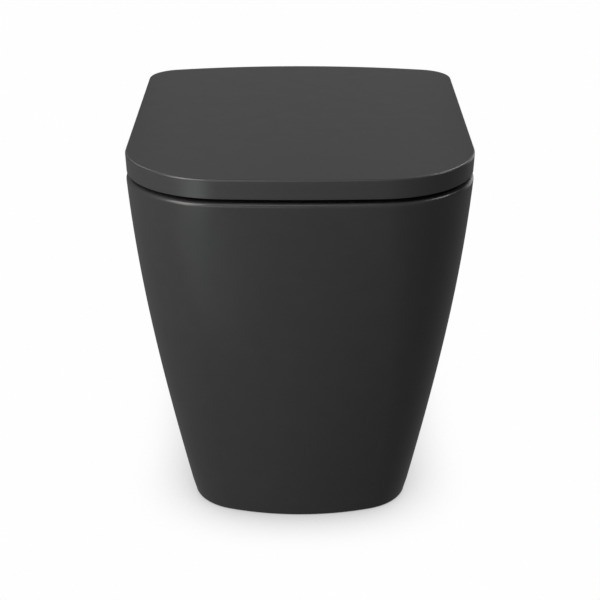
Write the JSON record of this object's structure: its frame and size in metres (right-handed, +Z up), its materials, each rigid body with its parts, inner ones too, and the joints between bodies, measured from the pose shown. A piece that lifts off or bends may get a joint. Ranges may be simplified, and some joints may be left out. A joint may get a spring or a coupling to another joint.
{
  "type": "floor-standing toilet",
  "caption": "Back-to-wall floor-standing toilet pan, tapered to a narrow foot, with slim soft-close wrap-over lid and quick-release seat.",
  "frame": {"origin": "middle of the whole object's footprint box, on the floor", "axes": "+Z up, the front of the bowl faces -Y, the wall is at the +Y end, +X to the right as seen from the front"},
  "size_m": [0.36, 0.52, 0.42],
  "materials": {
    "china": "matte anthracite glaze on vitreous china",
    "moulded_resin": "matte anthracite moulded thermoset resin",
    "rubber": "moulded black rubber",
    "black_metal": "satin black die-cast zinc",
    "stainless": "turned stainless steel",
    "button_plastic": "fine-grained moulded plastic",
    "damper_plastic": "glass-filled nylon",
    "nut_brass": "turned brass",
    "bracket_nylon": "natural moulded nylon",
    "cap_plastic": "matte anthracite moulded cap"
  },
  "bodies": {
    "pan": {"pan": "china", "flush_inlet_seal": "rubber", "hinge_block_left": "black_metal", "hinge_block_right": "black_metal", "hinge_post_left": "stainless", "hinge_post_right": "stainless", "button_spring_left": "stainless", "button_spring_right": "stainless", "lid_damper_shaft": "stainless", "seat_damper_shaft": "stainless", "lid_hinge_pin": "stainless", "seat_hinge_pin": "stainless", "post_gaskets": "rubber", "fixing_studs": "stainless", "expansion_bushes": "rubber", "fixing_nuts": "nut_brass", "floor_bracket_left": "bracket_nylon", "floor_bracket_right": "bracket_nylon", "side_screws": "stainless", "side_screw_caps": "cap_plastic"},
    "seat": {"seat_ring": "moulded_resin", "seat_buffers": "rubber", "seat_damper": "damper_plastic"},
    "lid": {"lid": "moulded_resin", "lid_buffers": "rubber", "lid_damper": "damper_plastic"},
    "button_left": {"release_button_left": "button_plastic"},
    "button_right": {"release_button_right": "button_plastic"}
  },
  "joints": [
    {"name": "seat_hinge", "type": "hinge", "parent": "pan", "child": "seat", "pos_m": [0, 0.172, 0.409], "axis": [-1, 0, 0], "range_deg": [0, 92]},
    {"name": "lid_hinge", "type": "hinge", "parent": "seat", "child": "lid", "pos_m": [0, 0.172, 0.409], "axis": [-1, 0, 0], "range_deg": [0, 95]},
    {"name": "left_button_slide", "type": "slide", "parent": "pan", "child": "button_left", "axis": [0, 1, 0], "range_m": [0, 0.0025], "stiffness_N_per_m": 600, "springref_m": -0.002, "deforming": ["button_spring_left"]},
    {"name": "right_button_slide", "type": "slide", "parent": "pan", "child": "button_right", "axis": [0, 1, 0], "range_m": [0, 0.0025], "stiffness_N_per_m": 600, "springref_m": -0.002, "deforming": ["button_spring_right"]}
  ]
}
